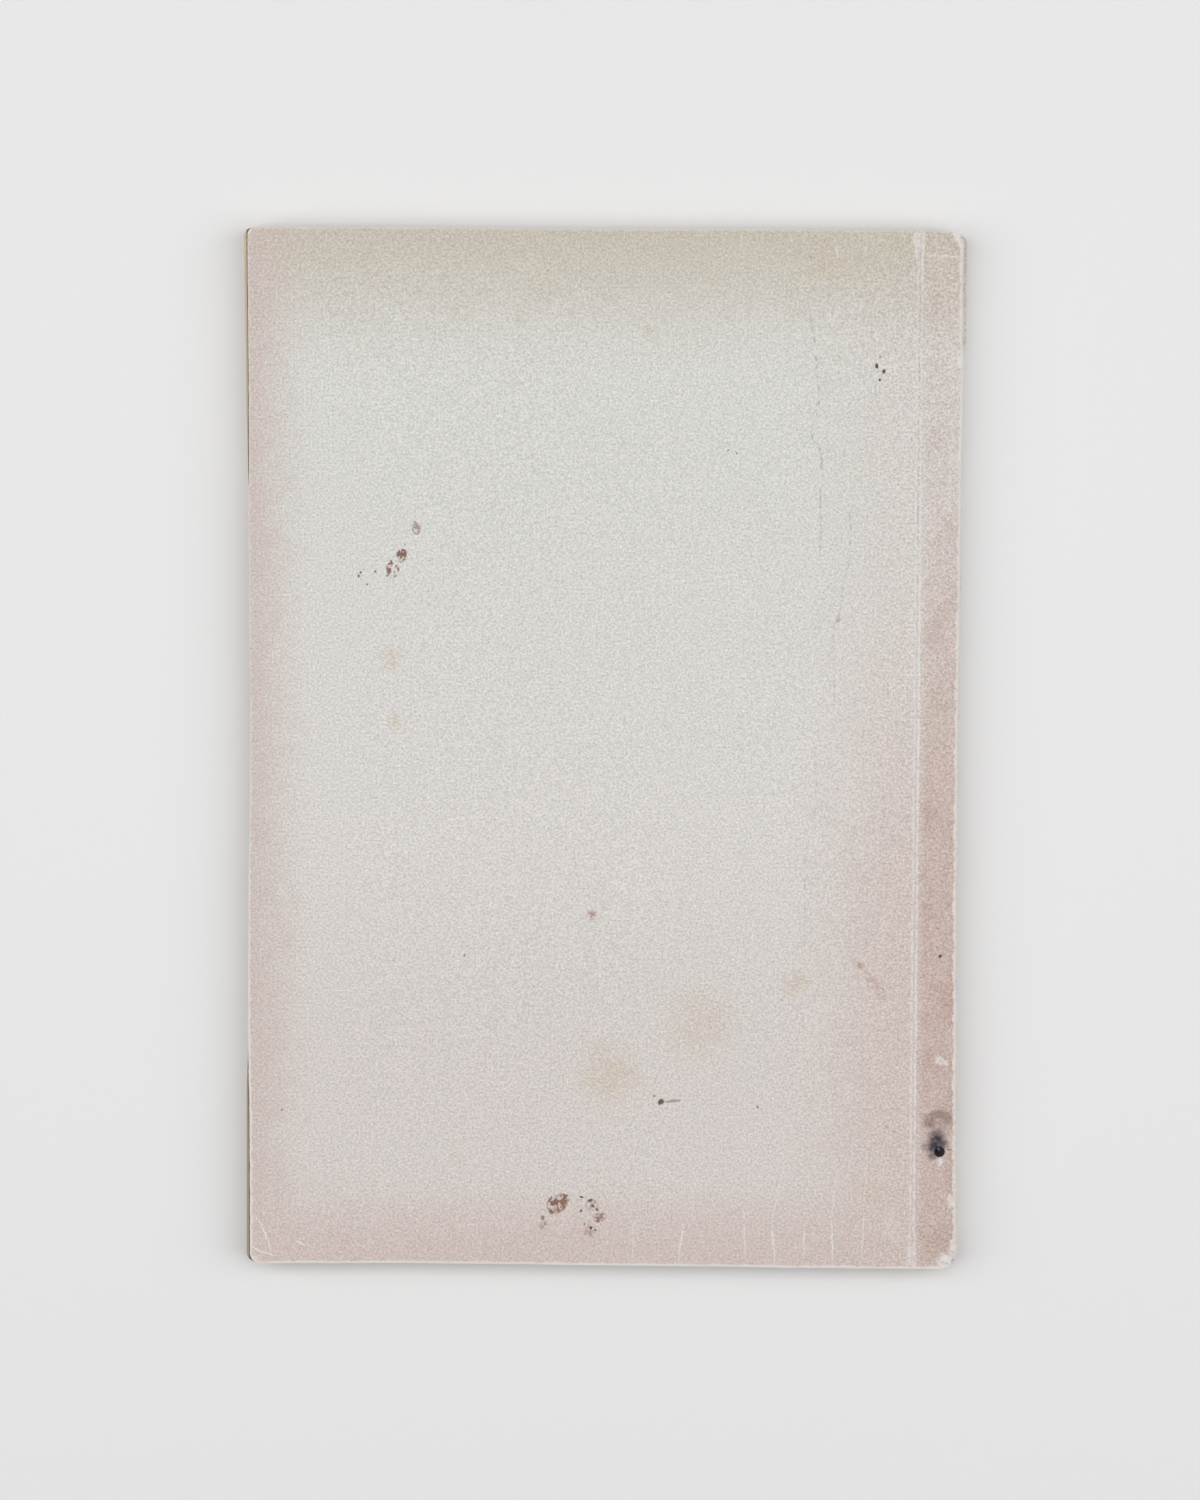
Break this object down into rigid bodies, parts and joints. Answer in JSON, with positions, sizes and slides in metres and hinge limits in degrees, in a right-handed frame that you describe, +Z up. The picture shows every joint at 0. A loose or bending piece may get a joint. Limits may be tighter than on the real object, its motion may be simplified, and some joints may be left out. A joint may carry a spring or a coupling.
{
  "type": "paperback book",
  "caption": "Thin old side-stitched paperback with plain worn card covers that open at scored hinges beside a flat glued spine.",
  "frame": {"origin": "middle of the closed book's footprint, on the surface that its front cover lies on", "axes": "+X towards the spine, +Y towards the head edge, +Z up through the leaves to the back cover"},
  "size_m": [0.14, 0.203, 0.006],
  "materials": {
    "cover_card": "matt uncoated card, toned and foxed",
    "leaf_paper": "toned wood-pulp leaves, trimmed edges",
    "dried_glue": "brittle amber animal glue",
    "stitching_wire": "dull, blue-grey, lightly rusted"
  },
  "bodies": {
    "front_cover": {"front_cover": "cover_card"},
    "book_block": {"text_block": "leaf_paper", "binding_glue": "dried_glue", "head_staple": "stitching_wire", "tail_staple": "stitching_wire", "spine_wrap": "cover_card"},
    "back_cover": {"back_cover": "cover_card"}
  },
  "joints": [
    {"name": "front_hinge", "type": "hinge", "parent": "front_cover", "child": "book_block", "pos_m": [0.0612, 0, 0], "axis": [0, 1, 0], "range_deg": [0, 175]},
    {"name": "back_hinge", "type": "hinge", "parent": "book_block", "child": "back_cover", "pos_m": [0.0612, 0, 0.006], "axis": [0, 1, 0], "range_deg": [0, 175]}
  ]
}
